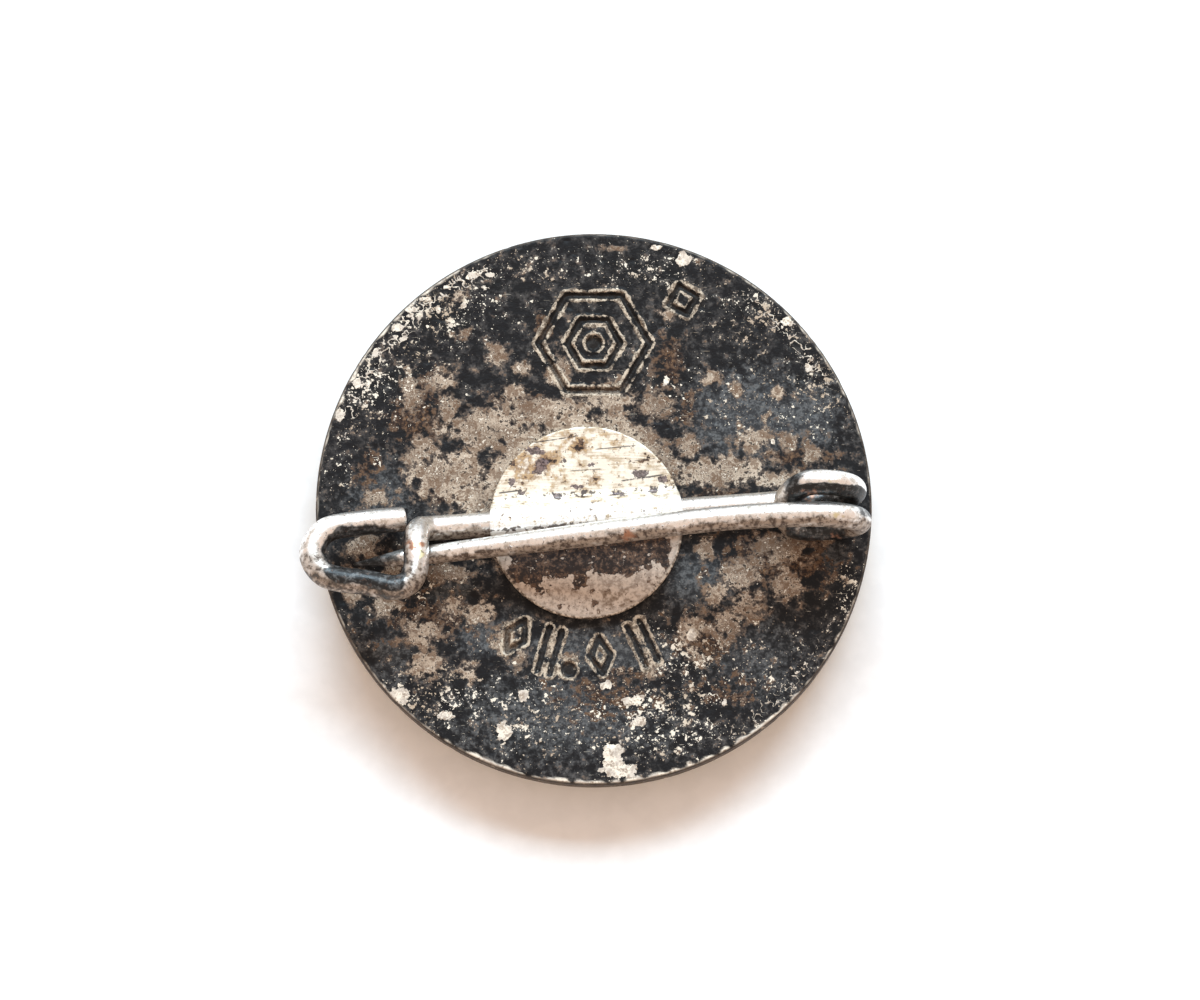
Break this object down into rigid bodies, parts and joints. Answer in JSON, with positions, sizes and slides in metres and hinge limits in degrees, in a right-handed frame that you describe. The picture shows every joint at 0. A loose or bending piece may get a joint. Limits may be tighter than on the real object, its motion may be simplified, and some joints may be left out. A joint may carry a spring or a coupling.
{
  "type": "enamelled lapel badge with a wire pin",
  "caption": "Round enamelled lapel badge: struck metal body, soldered mounting disc, and a sprung one-wire pin with a looped catch across its back.",
  "frame": {"origin": "centre of the flat middle of the front face, on the badge's axis", "axes": "+Z out of the back, +X from the catch towards the spring coil; the badge lies on its front"},
  "size_m": [0.0236, 0.023, 0.0064],
  "materials": {
    "body_metal": "tarnished dark plating over copper alloy, worn to bare metal in patches and round the rim",
    "enamel_dark": "opaque glossy vitreous enamel, deep blue-green",
    "enamel_light": "opaque glossy vitreous enamel, ivory",
    "solder": "dull grey soft solder",
    "disc_metal": "worn silvery sheet with brown stains",
    "wire_steel": "plated spring wire, bright where rubbed and brown below"
  },
  "bodies": {
    "badge": {"badge_body": "body_metal", "enamel_centre": "enamel_dark", "enamel_inner_ring": "enamel_light", "enamel_outer_ring": "enamel_dark", "solder_layer": "solder", "mounting_disc": "disc_metal", "catch_wire": "wire_steel", "spring_coil": "wire_steel"},
    "pin": {"pin_arm": "wire_steel"}
  },
  "joints": [
    {"name": "pin_hinge", "type": "hinge", "parent": "badge", "child": "pin", "pos_m": [0.00941, -0.0007, 0.00588], "axis": [-0.946, -0.0984, 0.309], "range_deg": [0, 150]}
  ]
}
